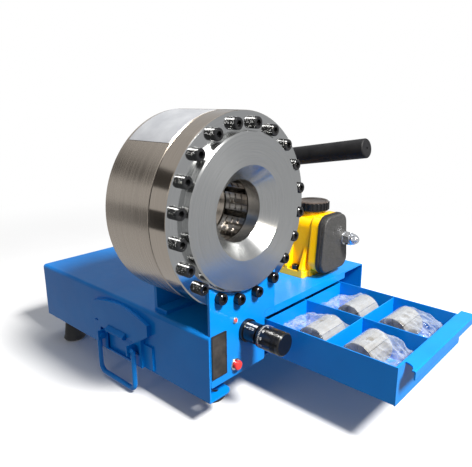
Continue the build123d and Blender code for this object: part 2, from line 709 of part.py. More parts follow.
pump_screws = []
for yb in bolt_rows:
    for s in (-1, 1):
        x = pump_x + s * (half + 9)
        z0 = base_h + pump_foot_t
        sc = rod_z(x, yb, 4.0, base_h - sheet_t - 6, z0) + rod_z(x, yb, 6.5, z0, z0 + 8)
        hexagon = Pos(x, yb, z0 + 4) * RegularPolygon(3, 6, major_radius=False)
        pump_screws.append(sc - extrude(hexagon, amount=5))
        parts["base_shell"] = parts["base_shell"] - rod_z(x, yb, 4.1, base_h - sheet_t - 1, base_h + 1)
keep("base_shell", parts["base_shell"])
keep("pump_screws", *pump_screws)

cap_z = pump_top + neck_h + 0.3
cap = turned_z([(0, pump_top - 12), (15.05, pump_top - 12), (15.05, cap_z), (cap_r - 1.5, cap_z),
                (cap_r, cap_z + 1.5), (cap_r, cap_z + cap_h - 2), (cap_r - 2, cap_z + cap_h),
                (cap_r - 5, cap_z + cap_h), (cap_r - 7, cap_z + cap_h - 1.5), (0, cap_z + cap_h - 1.5)],
               pump_x, front + cap_y)
for i in range(24):
    notch = Pos(pump_x, front + cap_y, cap_z + cap_h / 2) * Rot(0, 0, 15.0 * i) * Pos(cap_r + 0.6, 0, 0)
    cap -= notch * Box(3.6, 3.0, cap_h - 3)
keep("filler_cap", cap)

vx = pump_x + half
knob = rod_x(valve_y, valve_z, 5.0, vx - 18, vx + 6) + rod_x(valve_y, valve_z, 13, vx + 6, vx + 20)
knob = chamfer(knob.edges().group_by(Axis.X)[-1], 1.5)
for i in range(10):
    flute = Pos(vx + 13, valve_y, valve_z) * Rot(36.0 * i, 0, 0) * Pos(0, 14, 0) * Rot(0, 90, 0)
    knob -= flute * Cylinder(2.4, 16)
keep("release_knob", knob)

# lever: beam, socket, tube and grip
gy0, gz0 = front + grip_end[0], fz + grip_end[1]
gy1, gz1 = front + grip_back[0], fz + grip_back[1]
tilt = atan2(gz0 - gz1, gy1 - gy0)


def on_axis(d):
    """A point on the lever's axis, d from its free end."""
    return gy0 + d * cos(tilt), gz0 - d * sin(tilt)


def along(r, d0, d1):
    """A round bar on the lever's axis between two distances from the free end."""
    y, z = on_axis((d0 + d1) / 2)
    return Pos(pump_x, y, z) * Rot(90 - degrees(tilt), 0, 0) * Cylinder(r, d1 - d0)


beam_t = 14.0
socket_0 = grip_len + 6
socket_1 = tube_len + 9
sy, sz = on_axis(tube_len - 14)
beam_face = make_face(Polyline((fy + 12, fz - 10), (fy + 12, fz + 10), (pl_y - 2, fz + 16),
                               (sy + 14, sz), (sy - 12, sz), (pl_y - 22, fz + 14), (pl_y - 18, fz - 10),
                               close=True))
beam = prism_x(fillet(beam_face.vertices(), 5), pump_x - beam_t / 2, pump_x + beam_t / 2)
beam -= rod_x(fy, fz, 6.0 + run_fit, pump_x - 20, pump_x + 20)
slot_r = 5.0 + slot_play
slot = Pos(pump_x, pl_y, fz) * Box(40, slot_run, 2 * slot_r)
for e in (-1, 1):
    slot += rod_x(pl_y + e * slot_run / 2, fz, slot_r, pump_x - 20, pump_x + 20)
beam -= slot
beam += along(tube_r + 5, socket_0, socket_1)
beam -= along(tube_r + 0.05, grip_len, tube_len)
keep("lever_beam", beam)
keep("lever_tube", along(tube_r, 4, tube_len))
grip = along(grip_r, 0, grip_len)
grip = fillet(grip.edges().group_by(Axis.Y)[0], 3)
grip -= along(tube_r + 0.02, 4, grip_len + 1)
grip -= along(2.0, -1, 6)
keep("lever_grip", grip)
keep("fulcrum_pin", rod_x(fy, fz, 6.0, pump_x - lug_gap - lug_t - 3, pump_x + lug_gap + lug_t + 3))

top_z = fz + 13
plunger = rod_z(pump_x, pl_y, plunger_r, pump_top - 50, top_z)
plunger -= block(pump_x - beam_t / 2 - 0.5, pump_x + beam_t / 2 + 0.5, pl_y - 40, pl_y + 40,
                 fz - 20, top_z + 1)
plunger -= rod_x(pl_y, fz, 5.02, pump_x - 30, pump_x + 30)
keep("pump_plunger", plunger)
keep("plunger_pin", rod_x(pl_y, fz, 5.0, pump_x - plunger_r, pump_x + plunger_r))

# pressure line above the deck from the pump to the cylinder
px0 = pump_x - half
fit_len = 14.0
bend_pipe = 20.0
pump_fit = rod_x(port_y, out_z, 8.0, px0 - fit_len, px0) + rod_x(port_y, out_z, 5.0, px0, px0 + 8)
pipe_r = 3.0
pump_fit -= rod_x(port_y, out_z, pipe_r + 0.02, px0 - fit_len - 1, px0 - 4)


def port_point(d):
    """A point d outside the cylinder on the axis of its pressure port."""
    return head_x + (ring_r + d) * cos(port_a), head_z + (ring_r + d) * sin(port_a)


cyl_fit = port * Pos(0, 0, 5) * Cylinder(port_r, 10 + 2 * 5)
cyl_fit -= port * Pos(0, 0, 10) * Cylinder(pipe_r + 0.02, 12)
keep("pipe_fittings", pump_fit, cyl_fit)
bend_d = (out_z - head_z) / sin(port_a) - ring_r
bx1, bz1 = port_point(bend_d)
ex, ez = port_point(5.0)
line = FilletPolyline((px0 - 5, port_y, out_z), (bx1, port_y, bz1), (ex, port_y, ez), radius=bend_pipe)
pipe = sweep(Plane(origin=line @ 0, z_dir=line % 0) * Circle(pipe_r), path=line)
keep("pressure_pipe", pipe)

# ---------------------------------------------------------------- write
if __name__ == "__main__":
    os.makedirs("parts", exist_ok=True)
    for name, shape in parts.items():
        export_step(shape, f"parts/{name}.step")
    print(len(parts), "nodes")
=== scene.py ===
from math import cos, pi, radians, sin

import bmesh
import bpy
from mathutils import Matrix, Vector, noise


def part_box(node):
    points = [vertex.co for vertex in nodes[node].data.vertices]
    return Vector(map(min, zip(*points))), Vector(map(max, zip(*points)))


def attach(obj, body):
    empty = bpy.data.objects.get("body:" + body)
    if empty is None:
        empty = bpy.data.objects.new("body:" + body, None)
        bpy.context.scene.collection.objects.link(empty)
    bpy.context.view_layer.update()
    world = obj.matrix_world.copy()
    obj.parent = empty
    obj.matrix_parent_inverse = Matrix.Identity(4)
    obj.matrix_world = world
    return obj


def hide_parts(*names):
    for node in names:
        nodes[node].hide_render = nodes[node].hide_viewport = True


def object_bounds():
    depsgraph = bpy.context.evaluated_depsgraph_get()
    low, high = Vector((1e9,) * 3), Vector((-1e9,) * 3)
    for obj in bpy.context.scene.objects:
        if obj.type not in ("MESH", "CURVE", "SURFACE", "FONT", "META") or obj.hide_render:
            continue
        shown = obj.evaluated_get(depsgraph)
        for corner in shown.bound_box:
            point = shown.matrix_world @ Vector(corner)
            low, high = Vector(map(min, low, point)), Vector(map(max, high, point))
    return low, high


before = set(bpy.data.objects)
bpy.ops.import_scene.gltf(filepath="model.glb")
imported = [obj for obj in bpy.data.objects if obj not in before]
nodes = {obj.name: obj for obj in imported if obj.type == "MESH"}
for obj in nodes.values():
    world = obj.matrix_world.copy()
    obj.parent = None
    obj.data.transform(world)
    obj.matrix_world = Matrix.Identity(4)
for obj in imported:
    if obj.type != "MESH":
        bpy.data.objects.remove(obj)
cad_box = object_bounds()

# ---------------------------------------------------------------- folded base
# The base is bent from 2.5 mm steel sheet: deck, side walls, corner ears and a floor pan,
# with a 4 mm front plate. All of it has the same glossy blue powder coat, which pulls
# thin over the cut edges and has a fine orange peel.


def new_finish(name, color, roughness, metallic=0.0):
    """A material with one principled shader, and its tree and shader."""
    material = bpy.data.materials.new(name)
    material.use_nodes = True
    tree = material.node_tree
    shader = tree.nodes["Principled BSDF"]
    shader.inputs["Base Color"].default_value = (*color, 1.0)
    shader.inputs["Roughness"].default_value = roughness
    shader.inputs["Metallic"].default_value = metallic
    return material, tree, shader


def node(tree, kind, settings=None, **inputs):
    """A shader node with its settings and the values of its named inputs."""
    made = tree.nodes.new("ShaderNode" + kind)
    for key, value in (settings or {}).items():
        setattr(made, key, value)
    for key, value in inputs.items():
        made.inputs[key.replace("_", " ")].default_value = value
    return made


def grain(tree, scale, detail=3.0, stretch=(1.0, 1.0, 1.0)):
    """Noise on the piece's own coordinates, in features to the metre."""
    place = node(tree, "TexCoord")
    stretched = node(tree, "Mapping", Scale=stretch)
    tex = node(tree, "TexNoise", Scale=scale, Detail=detail)
    tree.links.new(place.outputs["Object"], stretched.inputs["Vector"])
    tree.links.new(stretched.outputs["Vector"], tex.inputs["Vector"])
    return tex.outputs["Fac"]


def ramp(tree, source, stops):
    """Colours along a source, each at its place from 0 to 1."""
    made = node(tree, "ValToRGB")
    bar = made.color_ramp
    while len(bar.elements) < len(stops):
        bar.elements.new(0.5)
    for element, (at, color) in zip(bar.elements, stops):
        element.position = at
        element.color = (*color, 1.0)
    tree.links.new(source, made.inputs["Fac"])
    return made.outputs["Color"]


def span(tree, source, low, high):
    """A source from 0 to 1, stretched from low to high."""
    made = node(tree, "MapRange", To_Min=low, To_Max=high)
    tree.links.new(source, made.inputs["Value"])
    return made.outputs["Result"]


def tint(tree, shader, source, *stops):
    """The finish takes its colour from a source."""
    tree.links.new(ramp(tree, source, stops), shader.inputs["Base Color"])


def dull(tree, shader, source, low, high):
    """The finish takes its roughness from a source."""
    tree.links.new(span(tree, source, low, high), shader.inputs["Roughness"])


def relief(tree, shader, source, height, strength=1.0, round_edges=0.0):
    """Bump of a height in metres, over edges rounded by a radius."""
    bump = node(tree, "Bump", Strength=strength, Distance=height)
    tree.links.new(source, bump.inputs["Height"])
    if round_edges:
        edge = node(tree, "Bevel", {"samples": 4}, Radius=round_edges)
        tree.links.new(edge.outputs["Normal"], bump.inputs["Normal"])
    tree.links.new(bump.outputs["Normal"], shader.inputs["Normal"])


def dress(material, *names):
    """The CAD nodes of those names get a material."""
    for name in names:
        nodes[name].material_slots[0].material = material


blue_coat, tree, shader = new_finish("blue_powder_coat", (0.002, 0.21, 0.67), 0.32)
shader.inputs["Specular IOR Level"].default_value = 0.22
shader.inputs["Coat Weight"].default_value = 0.14
shader.inputs["Coat Roughness"].default_value = 0.05
tint(tree, shader, grain(tree, 9.0), (0.35, (0.001, 0.195, 0.64)), (0.65, (0.001, 0.225, 0.70)))
dull(tree, shader, grain(tree, 60.0), 0.26, 0.42)
relief(tree, shader, grain(tree, 520.0, 2.0), 0.00025, 0.35, 0.0009)
dress(blue_coat, "base_shell", "floor_pan", "front_plate", "drawer_runners", "rear_saddle")

# ---------------------------------------------------------------- deck lip's left end
# The deck's folded front lip runs on behind the clamping plate, to the panel's right edge.
# It is the same sheet and the same coat.
base_sheet = 0.0025
lip_deep = 0.012
lip_from = 0.113                # from the plate's left edge to where the lip is cut off
lip_past = 0.0002               # how far the lip runs past the plate
lip_under = 0.0001              # how far the lip lies under the deck's top
lip_edge = 0.0003
deck_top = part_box("base_shell")[1][2]
plate_low, plate_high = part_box("front_plate")
lip_low = (plate_low[0] + lip_from, plate_low[1], deck_top - lip_deep)
lip_high = (plate_high[0] + lip_past, plate_low[1] + base_sheet, deck_top - lip_under)


def linked(name, bm, material, smooth=True):
    """A finished mesh as an object at the origin."""
    bmesh.ops.recalc_face_normals(bm, faces=bm.faces[:])
    mesh = bpy.data.meshes.new(name)
    bm.to_mesh(mesh)
    bm.free()
    mesh.materials.append(material)
    for polygon in mesh.polygons:
        polygon.use_smooth = smooth
    made = bpy.data.objects.new(name, mesh)
    bpy.context.scene.collection.objects.link(made)
    return made


def slab(bm, low, high, broken=0.0):
    """A box between two corners, its edges broken by a small bevel."""
    made = bmesh.ops.create_cube(bm, size=1.0)["verts"]
    for v in made:
        v.co = [lo + (c + 0.5) * (hi - lo) for c, lo, hi in zip(v.co, low, high)]
    if broken:
        edges = list({e for v in made for e in v.link_edges})
        bmesh.ops.bevel(bm, geom=edges, offset=broken, segments=2, affect="EDGES")


bm = bmesh.new()
slab(bm, lip_low, lip_high, lip_edge)
lip_end = linked("deck_lip_end", bm, blue_coat, False)
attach(lip_end, "base")

# ---------------------------------------------------------------- feet
# Four moulded black rubber feet, flared at the floor and screwed up through the pan.
# The rubber is matt and grey with dust.
foot_rubber, tree, shader = new_finish("foot_rubber", (0.022, 0.022, 0.024), 0.62)
tint(tree, shader, grain(tree, 35.0, 5.0), (0.3, (0.007, 0.007, 0.008)), (0.75, (0.02, 0.02, 0.021)))
relief(tree, shader, grain(tree, 900.0), 0.0002, 0.4, 0.0012)
dress(foot_rubber, "rubber_feet")

# ---------------------------------------------------------------- crimping head
# A front ring with a proud nose and a cylinder behind it, both turned from steel about the
# same axis along Y. The lathe leaves fine rings on faces and walls, so light streaks
# across them; the ring's face is polished, and the walls are warm with a painted reflection
# of a brownish floor.
ring_low, ring_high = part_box("front_cover")
head_x = (ring_low[0] + ring_high[0]) / 2
head_z = (ring_low[2] + ring_high[2]) / 2
ring_r = (ring_high[0] - ring_low[0]) / 2
nose_r = 0.1095
wall_r = ring_r - 0.0005
no_such_r = 1.0                 # beyond the piece, so that nothing changes there
seam_y = ring_high[1] - 0.0008
seam_half = 0.0011
ring_drift = 0.0012             # metres of noise for each radian round the axis
# Warm tones for the turned walls: a painted reflection of a brownish floor.
painted_reflection_low, painted_reflection_high = (0.47, 0.41, 0.345), (0.56, 0.49, 0.415)
grime = (0.03, 0.026, 0.022, 1.0)


def feed(tree, source, socket):
    """Links a socket to another one, or sets it to a plain value."""
    if isinstance(source, bpy.types.NodeSocket):
        tree.links.new(source, socket)
    else:
        socket.default_value = source


def sums(tree, operation, *sources, kind="Math", result="Value"):
    """The result of a node that reckons with its sources."""
    made = node(tree, kind, {"operation": operation})
    for socket, source in zip(made.inputs, sources):
        feed(tree, source, socket)
    return made.outputs[result]


def blend(tree, amount, under, over):
    """Two colours mixed by an amount."""
    made = node(tree, "MixRGB")
    for label, source in (("Fac", amount), ("Color1", under), ("Color2", over)):
        feed(tree, source, made.inputs[label])
    return made.outputs["Color"]


def turned_steel(name, color, ring_scale, ring_depth, polished_from, painted_reflection_from):
    """Steel with rings and streaks about the head's axis, polished beyond one radius and
    warm beyond another with a painted floor reflection. Grime lies in the groove of the seam."""
    rough = 0.25
    material, tree, shader = new_finish(name, color, rough, 1.0)
    place = node(tree, "TexCoord")
    centred = node(tree, "Mapping", Location=(-head_x, 0.0, -head_z))
    tree.links.new(place.outputs["Object"], centred.inputs["Vector"])
    parts = node(tree, "SeparateXYZ")
    tree.links.new(centred.outputs["Vector"], parts.inputs["Vector"])
    x, y, z = parts.outputs
    flat = node(tree, "CombineXYZ")
    tree.links.new(x, flat.inputs["X"])
    tree.links.new(z, flat.inputs["Z"])
    radius = sums(tree, "LENGTH", flat.outputs["Vector"], kind="VectorMath")
    turn = sums(tree, "ARCTAN2", z, x)
    ringed = node(tree, "CombineXYZ")
    for source, socket in zip((radius, y, sums(tree, "MULTIPLY", turn, ring_drift)), ringed.inputs):
        tree.links.new(source, socket)
    rings = node(tree, "TexNoise", Scale=ring_scale, Detail=4.0, Roughness=0.7)
    tree.links.new(ringed.outputs["Vector"], rings.inputs["Vector"])
    cut = rings.outputs["Fac"]

    polish = node(tree, "MapRange", From_Min=polished_from, From_Max=polished_from + 0.0005,
                  To_Min=1.0, To_Max=0.45)
    tree.links.new(radius, polish.inputs["Value"])
    turned = span(tree, cut, rough * (1.0 - 0.5 * ring_depth), rough * (1.0 + 0.6 * ring_depth))
    tree.links.new(sums(tree, "MULTIPLY", turned, polish.outputs["Result"]), shader.inputs["Roughness"])

    bare_low = [c * 0.92 for c in color]
    bare_high = [min(1.0, c * 1.05) for c in color]
    bare = ramp(tree, cut, [(0.35, bare_low), (0.65, bare_high)])
    painted_reflection_tone = ramp(tree, cut, [(0.35, painted_reflection_low), (0.65, painted_reflection_high)])
    # Beyond that radius the walls take the painted warm floor reflection.
    skin = blend(tree, sums(tree, "GREATER_THAN", radius, painted_reflection_from), bare, painted_reflection_tone)
    seam = sums(tree, "COMPARE", y, seam_y, seam_half)
    tree.links.new(blend(tree, seam, skin, grime), shader.inputs["Base Color"])

    around = sums(tree, "CROSS_PRODUCT", (0.0, 1.0, 0.0), flat.outputs["Vector"],
                  kind="VectorMath", result="Vector")
    along = sums(tree, "NORMALIZE", around, kind="VectorMath", result="Vector")
    tree.links.new(along, shader.inputs["Tangent"])
    shader.inputs["Anisotropic"].default_value = 0.6
    shader.inputs["Anisotropic Rotation"].default_value = 0.25
    relief(tree, shader, cut, 0.00003, 0.25 * ring_depth, 0.0006)
    return material


cover_steel = turned_steel("turned_cover_steel", (0.50, 0.505, 0.50), 1600.0, 0.25, nose_r, wall_r)
# The cylinder's warm brownish base colour is a painted reflection of a brownish floor.
cylinder_steel = turned_steel("turned_cylinder_steel", (0.52, 0.455, 0.385), 400.0, 0.7,
                              no_such_r, no_such_r)
dress(cover_steel, "front_cover")
dress(cylinder_steel, "cylinder_body")

# ---------------------------------------------------------------- crimping mechanism
# Eight ground die shoes stand in the open round the bore, driven in by a coned piston.
# They are hardened steel, brown with oil, and streaked darker at random along the bore.
ground_steel, tree, shader = new_finish("ground_oiled_steel", (0.42, 0.40, 0.37), 0.22, 1.0)
stripe = grain(tree, 180.0, 4.0, (1.0, 0.15, 1.0))
tint(tree, shader, stripe, (0.3, (0.22, 0.20, 0.18)), (0.7, (0.42, 0.40, 0.37)))
dull(tree, shader, stripe, 0.14, 0.34)
relief(tree, shader, stripe, 0.0001, 0.3, 0.0005)
dress(ground_steel, "cone_piston", *[f"die_shoe_{k + 1}" for k in range(8)])
dress(foot_rubber, "piston_seals")

# ---------------------------------------------------------------- ring screws
# Twenty M10 socket head cap screws in black oxide hold the front ring to the cylinder.
# Their heads are rolled with a straight knurl that catches the light.
black_oxide, tree, shader = new_finish("black_oxide", (0.008, 0.008, 0.009), 0.16)
wear = grain(tree, 240.0, 5.0)
tint(tree, shader, wear, (0.4, (0.005, 0.005, 0.006)), (0.8, (0.014, 0.014, 0.013)))
dull(tree, shader, wear, 0.10, 0.24)
relief(tree, shader, wear, 0.00015, 0.35, 0.0004)
dress(black_oxide, "cover_screws", "foot_screws", "pump_screws")

screw_count = 20
screw_phase = radians(9.0)
screw_circle = ring_r - 0.015
head_r = 0.008
head_h = 0.010
knurl_at = 0.44 * head_h        # the middle of the knurl above the head's seat
knurl_h = 0.72 * head_h
knurl_in = 0.00005
plate_y, ring_face = plate_low[1], plate_high[1]


def new_growth(name, *sockets):
    """A Geometry Nodes group with named inputs, with short ways to add and join its nodes."""
    group = bpy.data.node_groups.new(name, "GeometryNodeTree")
    face = group.interface
    face.new_socket("Geometry", in_out="INPUT", socket_type="NodeSocketGeometry")
    for label, kind, value in sockets:
        face.new_socket(label, in_out="INPUT", socket_type="NodeSocket" + kind).default_value = value
    face.new_socket("Geometry", in_out="OUTPUT", socket_type="NodeSocketGeometry")
    return group, group.nodes.new, group.links.new


def end_growth(group, instances, material):
    """The end of a group: its instances are made real and get their material."""
    real = group.nodes.new("GeometryNodeRealizeInstances")
    paint = group.nodes.new("GeometryNodeSetMaterial")
    paint.inputs["Material"].default_value = material
    out = group.nodes.new("NodeGroupOutput")
    group.links.new(instances, real.inputs["Geometry"])
    group.links.new(real.outputs["Geometry"], paint.inputs["Geometry"])
    group.links.new(paint.outputs["Geometry"], out.inputs["Geometry"])


def knurl_tree(material):
    """Geometry Nodes: on each point of a mesh, a band of small ridges round a leaning axis."""
    group, add, join = new_growth(
        "screw_head_knurl", ("Ridges", "Int", 48), ("Head radius", "Float", head_r),
        ("Band", "Float", knurl_h), ("Ridge", "Float", 0.0004), ("Lean", "Vector", (pi / 2, 0.0, 0.0)))
    given = add("NodeGroupInput")
    circle = add("GeometryNodeMeshCircle")
    join(given.outputs["Ridges"], circle.inputs["Vertices"])
    join(given.outputs["Head radius"], circle.inputs["Radius"])
    size = add("ShaderNodeCombineXYZ")
    join(given.outputs["Ridge"], size.inputs["X"])
    join(given.outputs["Ridge"], size.inputs["Y"])
    join(given.outputs["Band"], size.inputs["Z"])
    ridge = add("GeometryNodeMeshCube")
    join(size.outputs["Vector"], ridge.inputs["Size"])
    spot = add("GeometryNodeInputPosition")
    face_out = add("FunctionNodeAlignEulerToVector")
    face_out.axis = "X"
    join(spot.outputs["Position"], face_out.inputs["Vector"])
    band = add("GeometryNodeInstanceOnPoints")
    join(circle.outputs["Mesh"], band.inputs["Points"])
    join(ridge.outputs["Mesh"], band.inputs["Instance"])
    join(face_out.outputs["Rotation"], band.inputs["Rotation"])
    tip = add("GeometryNodeTransform")
    join(given.outputs["Lean"], tip.inputs["Rotation"])
    join(band.outputs["Instances"], tip.inputs["Geometry"])
    heads = add("GeometryNodeInstanceOnPoints")
    join(given.outputs["Geometry"], heads.inputs["Points"])
    join(tip.outputs["Geometry"], heads.inputs["Instance"])
    end_growth(group, heads.outputs["Instances"], material)
    return group


def grown(name, points, group, body, **inputs):
    """A piece that a node group grows on some points, made a plain mesh that rides on a body."""
    seed = bpy.data.meshes.new(name + "_points")
    seed.from_pydata([tuple(p) for p in points], [], [])
    stand = bpy.data.objects.new(name + "_stand", seed)
    bpy.context.scene.collection.objects.link(stand)
    live = stand.modifiers.new("grow", "NODES")
    live.node_group = group
    ids = {s.name: s.identifier for s in group.interface.items_tree if s.in_out == "INPUT"}
    for label, value in inputs.items():
        live[ids[label.replace("_", " ")]] = value
    seen = stand.evaluated_get(bpy.context.evaluated_depsgraph_get())
    mesh = bpy.data.meshes.new_from_object(seen)
    mesh.name = name
    stand.modifiers.clear()
    bpy.data.objects.remove(stand)
    piece = bpy.data.objects.new(name, mesh)
    bpy.context.scene.collection.objects.link(piece)
    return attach(piece, body)


places = []
for i in range(screw_count):
    turn = screw_phase + 2 * pi * i / screw_count
    x = head_x + screw_circle * cos(turn)
    z = head_z + screw_circle * sin(turn)
    seat = plate_y if x > plate_low[0] and z < plate_high[2] else ring_face
    places.append((x, seat - knurl_at, z))
knurl = grown("ring_screw_knurl", places, knurl_tree(black_oxide), "base",
              Ridges=44, Head_radius=head_r - knurl_in, Band=knurl_h, Ridge=0.00045,
              Lean=(pi / 2, 0.0, 0.0))

# ---------------------------------------------------------------- bare plate on the cylinder
# A thin silver plate, rolled to the cylinder and glued over its upper left side. It is
# bare, satin, and slightly cloudy.
cyl_low, cyl_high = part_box("cylinder_body")
rolled_from, rolled_to = radians(95.6), radians(134.5)
rolled_y = (cyl_low[1] + 0.003, cyl_high[1] - 0.008)
rolled_r = (ring_r - 0.0002, ring_r + 0.0006)
rolled_steps = 40

satin, tree, shader = new_finish("satin_plate", (0.66, 0.67, 0.70), 0.42, 0.55)
tint(tree, shader, grain(tree, 40.0, 4.0), (0.3, (0.42, 0.43, 0.455)), (0.7, (0.54, 0.55, 0.57)))
relief(tree, shader, grain(tree, 700.0), 0.0001, 0.15, 0.0003)

bm = bmesh.new()
skins = []
for r in rolled_r:
    rows = []
    for i in range(rolled_steps + 1):
        a = rolled_from + (rolled_to - rolled_from) * i / rolled_steps
        rows.append([bm.verts.new((head_x + r * cos(a), y, head_z + r * sin(a))) for y in rolled_y])
    skins.append(rows)
inner, outer = skins
for i in range(rolled_steps):
    bm.faces.new((outer[i][0], outer[i][1], outer[i + 1][1], outer[i + 1][0]))
    bm.faces.new((inner[i][0], inner[i + 1][0], inner[i + 1][1], inner[i][1]))
    for k in (0, 1):
        bm.faces.new((outer[i][k], outer[i + 1][k], inner[i + 1][k], inner[i][k]))
for i in (0, rolled_steps):
    bm.faces.new((outer[i][0], outer[i][1], inner[i][1], inner[i][0]))
rolled_plate = linked("cylinder_plate", bm, satin, False)
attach(rolled_plate, "base")

# ---------------------------------------------------------------- control panel
# A red push button in a bright bezel, a small red lamp above the deck line, and a dark
# bare plate with a black rim to the left. The plastic is glossy, the metal turned and bright.
red_cap, tree, shader = new_finish("red_cap", (0.80, 0.03, 0.03), 0.22)
tint(tree, shader, grain(tree, 120.0), (0.3, (0.70, 0.02, 0.02)), (0.7, (0.88, 0.05, 0.045)))
relief(tree, shader, grain(tree, 400.0), 0.0001, 0.2, 0.0005)
dress(red_cap, "push_button", "lamp_lens")
button_low, button_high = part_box("push_button")
button_at = ((button_low[0] + button_high[0]) / 2, (button_low[2] + button_high[2]) / 2)
stem_r = (button_high[0] - button_low[0]) / 2
button_r = 0.0070
button_y = plate_y - 0.0052
button_crown = [(0.0, 0.0036), (0.0050, 0.0034), (0.0064, 0.0027), (button_r, 0.0014), (button_r, 0.0)]


def lathed(name, points, material, body, at, steps=96):
    """A piece turned about a line along Y, from (radius, y) points in a closed line."""
    bm = bmesh.new()
    rings = []
    for r, y in points:
        if r < 1e-6:
            rings.append([bm.verts.new((at[0], y, at[1]))])
            continue
        turns = [2 * pi * k / steps for k in range(steps)]
        rings.append([bm.verts.new((at[0] + r * sin(a), y, at[1] + r * cos(a))) for a in turns])
    for near, far in zip(rings, rings[1:] + rings[:1]):
        for k in range(steps):
            n = (k + 1) % steps
            loop = [near[k % len(near)], near[n % len(near)], far[n % len(far)], far[k % len(far)]]
            corners = [v for m, v in enumerate(loop) if v not in loop[:m]]
            if len(corners) > 2:
                bm.faces.new(corners)
    made = linked(name, bm, material, False)
    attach(made, body)
    return made


profile = [(r, button_y - up) for r, up in button_crown]
profile += [(stem_r, button_y), (stem_r, button_high[1]), (0.0, button_high[1])]
button = lathed("button_head", profile, red_cap, "button", button_at, 48)
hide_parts("push_button")

bright, tree, shader = new_finish("bright_zinc", (0.72, 0.73, 0.75), 0.2, 1.0)
scuff = grain(tree, 300.0, 5.0)
tint(tree, shader, scuff, (0.3, (0.60, 0.61, 0.63)), (0.7, (0.80, 0.81, 0.82)))
dull(tree, shader, scuff, 0.14, 0.32)
relief(tree, shader, scuff, 0.0001, 0.2, 0.0004)
dress(bright, "panel_bezels", "dial_nut", "dial_spindle", "switch_bracket", "end_stud", "fulcrum_pin",
      "plunger_pin", "pump_plunger", "lever_tube", "pressure_pipe", "pipe_fittings")

dark_plate, tree, shader = new_finish("dark_bare_plate", (0.045, 0.04, 0.037), 0.3, 0.4)
tint(tree, shader, grain(tree, 70.0, 5.0), (0.35, (0.03, 0.028, 0.027)), (0.7, (0.075, 0.065, 0.058)))
relief(tree, shader, grain(tree, 800.0), 0.0001, 0.2, 0.0004)
dress(dark_plate, "blank_badge")

rim_black, tree, shader = new_finish("badge_rim_black", (0.012, 0.012, 0.013), 0.3)
tint(tree, shader, grain(tree, 300.0), (0.3, (0.010, 0.010, 0.011)), (0.7, (0.02, 0.02, 0.02)))
rim_w, rim_up, rim_in, rim_sunk = 0.0014, 0.0004, 0.0003, 0.0001
badge_low, badge_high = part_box("blank_badge")
x0, x1 = badge_low[0] + rim_in, badge_high[0] - rim_in
z0, z1 = badge_low[2] + rim_in, badge_high[2] - rim_in
rim_bars = [((x0, z0), (x0 + rim_w, z1)), ((x1 - rim_w, z0), (x1, z1)),
            ((x0 + rim_w, z0), (x1 - rim_w, z0 + rim_w)), ((x0 + rim_w, z1 - rim_w), (x1 - rim_w, z1))]
bm = bmesh.new()
for (xa, za), (xb, zb) in rim_bars:
    slab(bm, (xa, badge_low[1] - rim_up, za), (xb, badge_low[1] + rim_sunk, zb))
badge_rim = linked("badge_rim", bm, rim_black, False)
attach(badge_rim, "base")

# ---------------------------------------------------------------- sizing dial
# A black micrometer dial: a sleeve with a collar, a datum line and ticks, and a thimble that
# turns on it, with five grip rings, and ticks and numbers round its smooth band. Both are
# turned steel, blacked, and their marks are filled white.
dial_black, tree, shader = new_finish("dial_black", (0.006, 0.006, 0.007), 0.24)
worn = grain(tree, 260.0, 4.0)
tint(tree, shader, worn, (0.4, (0.004, 0.004, 0.005)), (0.8, (0.010, 0.010, 0.011)))
relief(tree, shader, worn, 0.0001, 0.3, 0.0004)
dress(dial_black, "dial_sleeve", "dial_thimble", "size_switch")
mark_white, tree, shader = new_finish("mark_white", (0.80, 0.80, 0.78), 0.5)
tint(tree, shader, grain(tree, 900.0), (0.3, (0.70, 0.70, 0.68)), (0.6, (0.86, 0.86, 0.84)))

thimble_low, thimble_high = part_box("dial_thimble")
end_y, root_y = thimble_low[1], thimble_high[1]
dial_at = ((thimble_low[0] + thimble_high[0]) / 2, (thimble_low[2] + thimble_high[2]) / 2)
sleeve_r = 0.0111
collar_r = 0.0150
collar_y0 = plate_y - 0.005
collar_y1 = collar_y0 - 0.0205
lathed("sleeve_collar",
       [(sleeve_r, collar_y0), (collar_r, collar_y0), (collar_r, collar_y1), (sleeve_r, collar_y1)],
       dial_black, "base", dial_at)

band_r = 0.0168
end_chamfer = 0.0016
root_chamfer, root_chamfer_y = 0.0018, 0.0020
hollow_r = sleeve_r + 0.00005
hollow_y = end_y + 0.018
groove_count = 5
groove_y, groove_pitch = end_y + 0.0060, 0.0019
groove = [(0.0, 0.0), (0.0009, 0.0004), (0.0009, 0.0007), (0.0, 0.0011)]     # depth, along Y
profile = [(0.0, end_y), (band_r - end_chamfer, end_y), (band_r, end_y + end_chamfer)]
for i in range(groove_count):
    profile += [(band_r - deep, groove_y + i * groove_pitch + along) for deep, along in groove]
profile += [(band_r, root_y - root_chamfer_y), (band_r - root_chamfer, root_y), (hollow_r, root_y),
            (hollow_r, hollow_y), (0.0, hollow_y)]
thimble = lathed("ringed_thimble", profile, dial_black, "thimble", dial_at)
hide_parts("dial_thimble")


